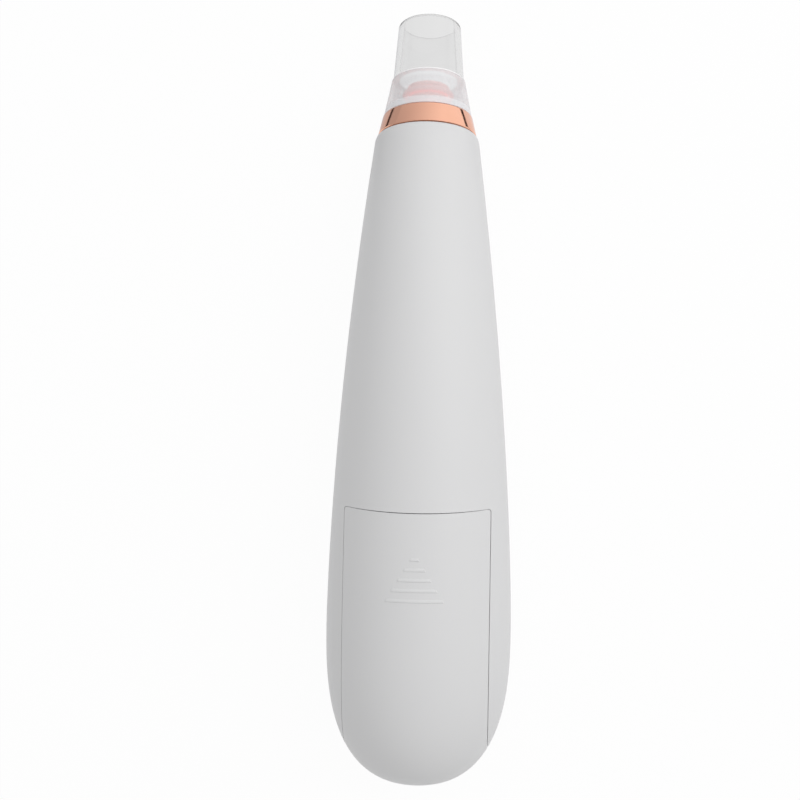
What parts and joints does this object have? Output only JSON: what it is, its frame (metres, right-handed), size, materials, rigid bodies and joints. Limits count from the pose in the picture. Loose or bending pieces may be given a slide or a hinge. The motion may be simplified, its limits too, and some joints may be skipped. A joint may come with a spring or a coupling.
{
  "type": "pore vacuum",
  "caption": "Drop-shaped hand-held suction tool with a push-on clear head, a neck ring, a sliding battery door and a motor-driven diaphragm pump inside.",
  "frame": {"origin": "centre of the tool's bounding box, on the surface that its flat front rests on", "axes": "+Y from the round bottom end to the suction head, +Z out of the tool's back, +X to the right as seen from the back with the head up"},
  "size_m": [0.0452, 0.1896, 0.0443],
  "materials": {
    "white_shell": "satin white moulded plastic",
    "white_button": "satin white moulded plastic, a little smoother",
    "copper_trim": "copper-coloured, brushed round the ring",
    "rose_gold": "rose-gold plated plastic",
    "clear_head": "clear plastic, frosted on the lower skirt",
    "silicone": "milky silicone",
    "sponge": "fine white sponge",
    "milky_lens": "milky clear plastic",
    "circuit_board": "green lacquered board",
    "battery_sleeve": "glossy dark sleeve with bare metal ends",
    "nickel_strip": "nickel-plated spring steel",
    "red_wire": "red wire sleeve",
    "black_wire": "black wire sleeve",
    "bright_steel": "bright zinc-plated steel",
    "black_moulding": "black moulded plastic",
    "magnet": "dark ferrite",
    "winding": "laminated iron wound with lacquered copper wire",
    "pump_nylon": "grey glass-filled nylon",
    "pump_rubber": "black moulded rubber"
  },
  "bodies": {
    "housing": {"front_shell": "white_shell", "rear_shell": "white_shell", "neck_ring": "copper_trim", "button_ring": "copper_trim", "suction_port": "rose_gold", "head_seal": "silicone", "air_hose": "silicone", "filter_sponge": "sponge", "indicator_lens": "milky_lens", "led_lamp": "milky_lens", "circuit_board": "circuit_board", "tact_switch": "bright_steel", "motor_driver": "black_moulding", "battery_left": "battery_sleeve", "battery_right": "battery_sleeve", "contact_bridge": "nickel_strip", "contact_positive": "nickel_strip", "contact_negative": "nickel_strip", "spring_left": "nickel_strip", "spring_right": "nickel_strip", "battery_wire_red": "red_wire", "motor_wire_red": "red_wire", "battery_wire_black": "black_wire", "motor_wire_black": "black_wire", "motor_can": "bright_steel", "motor_end_cap": "black_moulding", "motor_terminal_left": "nickel_strip", "motor_terminal_right": "nickel_strip", "magnet_left": "magnet", "magnet_right": "magnet", "pump_base": "pump_nylon", "pump_cover": "pump_nylon", "valve_plate": "black_moulding", "diaphragm": "pump_rubber", "pump_screw_1": "bright_steel", "pump_screw_2": "bright_steel", "pump_screw_3": "bright_steel", "housing_screw_lower": "bright_steel", "housing_screw_upper": "bright_steel"},
    "head": {"suction_head": "clear_head"},
    "door": {"battery_door": "white_shell"},
    "button": {"power_button": "white_button", "switch_plunger": "black_moulding"},
    "rotor": {"motor_shaft": "bright_steel", "motor_rotor": "winding", "drive_cam": "black_moulding", "drive_pin": "bright_steel"},
    "wobbler": {"wobble_plate": "pump_nylon"}
  },
  "joints": [
    {"name": "head_pull", "type": "slide", "parent": "housing", "child": "head", "axis": [0, 0.9877, -0.1564], "range_m": [0, 0.012]},
    {"name": "door_slide", "type": "slide", "parent": "housing", "child": "door", "axis": [0, -0.9962, 0.0872], "range_m": [0, 0.07]},
    {"name": "button_press", "type": "slide", "parent": "housing", "child": "button", "axis": [0, 0, 1], "range_m": [0, 0.0004], "stiffness_N_per_m": 400, "springref_m": -0.001},
    {"name": "motor_spin", "type": "hinge", "parent": "housing", "child": "rotor", "pos_m": [0, -0.0208, 0.0239], "axis": [0, 0.9969, -0.0785], "continuous": true},
    {"name": "wobble", "type": "hinge", "parent": "rotor", "child": "wobbler", "pos_m": [0, 0.02506, 0.02029], "axis": [0.1736, 0.9818, -0.0773], "continuous": true}
  ],
  "couplings": [
    {"joint": "wobble", "follows": "motor_spin", "ratio": -1}
  ]
}
